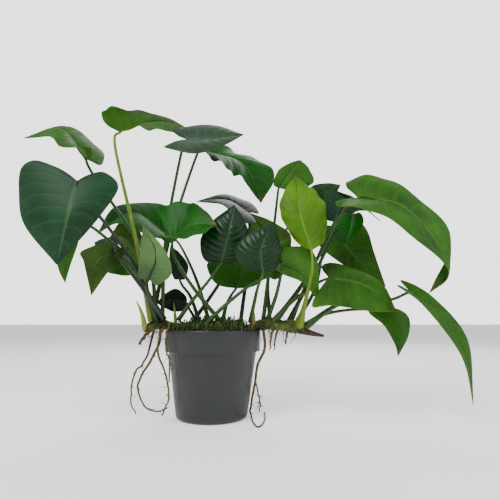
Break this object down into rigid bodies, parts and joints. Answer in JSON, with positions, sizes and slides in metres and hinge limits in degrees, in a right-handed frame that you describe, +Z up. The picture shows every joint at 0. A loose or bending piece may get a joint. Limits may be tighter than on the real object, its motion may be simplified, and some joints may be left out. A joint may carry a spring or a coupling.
{
  "type": "potted aquarium plant",
  "caption": "Broad-leaved aquarium plant with heart-shaped leaves on long stalks, creeping rhizomes and hanging roots, growing in a round plastic nursery pot.",
  "frame": {"origin": "middle of the flat underside of the pot", "axes": "+Z up along the pot's axis; +X to the side of the long arching leaf and the longer rhizome; -Y towards the front"},
  "size_m": [0.5336, 0.1931, 0.4123],
  "materials": {
    "pot": "dark grey moulded plastic with a satin sheen and fine upright ribs",
    "growing_mix": "damp dark bark and fibre with moss",
    "rhizome": "knobby yellow-green to brown stem with ring scars",
    "root": "tan and olive-brown fine roots",
    "sheath": "dry to yellow-green pointed sheaths",
    "leaf_deep": "deep blue-green leathery blade, satin above and matt below",
    "leaf_fresh": "fresh green leathery blade with a soft gloss",
    "leaf_satin": "grey-green leathery blade with a broad sheen",
    "leaf_sunlit": "saturated green leathery blade",
    "leaf_pale": "pale grey-green matt underside",
    "leaf_shade": "very dark green young blade",
    "leaf_olive": "olive green leathery blade",
    "leaf_ribbed": "very dark glossy green blade with raised ribs",
    "leaf_lime": "bright yellow-green young blade"
  },
  "bodies": {
    "root": {"pot": "pot", "growing_mix": "growing_mix", "rhizome_left": "rhizome", "rhizome_left_back": "rhizome", "rhizome_right": "rhizome", "rhizome_right_back": "rhizome", "root_left_long": "root", "root_left_outer": "root", "root_left_inner": "root", "root_left_short": "root", "root_left_thick": "root", "root_right_long": "root", "root_right_a": "root", "root_right_b": "root", "root_right_c": "root", "sheath_left": "sheath", "shoot_centre": "sheath", "sheath_brown": "sheath", "twig_dry": "sheath", "leaf_heart_front_left": "leaf_deep", "leaf_small_under_heart": "leaf_fresh", "leaf_arched_far_left": "leaf_fresh", "leaf_top_raised": "leaf_fresh", "leaf_top_level": "leaf_satin", "leaf_wavy_back": "leaf_sunlit", "leaf_broad_back_left": "leaf_sunlit", "leaf_cupped_centre": "leaf_sunlit", "leaf_pale_upright": "leaf_pale", "leaf_dark_small": "leaf_shade", "leaf_young_low": "leaf_shade", "leaf_drooping_left": "leaf_olive", "leaf_dark_left": "leaf_satin", "leaf_olive_back_left": "leaf_olive", "leaf_narrow_left": "leaf_sunlit", "leaf_ribbed_centre": "leaf_ribbed", "leaf_ribbed_front": "leaf_ribbed", "leaf_round_low": "leaf_sunlit", "leaf_dark_back_centre": "leaf_satin", "leaf_olive_back_centre": "leaf_olive", "leaf_back_tall": "leaf_fresh", "leaf_bright_upright": "leaf_lime", "leaf_green_centre": "leaf_fresh", "leaf_green_right": "leaf_fresh", "leaf_arrow_right": "leaf_fresh", "leaf_hanging_right": "leaf_fresh", "leaf_dark_right": "leaf_fresh", "leaf_deep_back_right": "leaf_deep", "leaf_small_right": "leaf_sunlit", "leaf_long_arching": "leaf_fresh", "leaf_long_far_right": "leaf_fresh", "leaf_grey_back_right": "leaf_satin"}
  },
  "joints": []
}
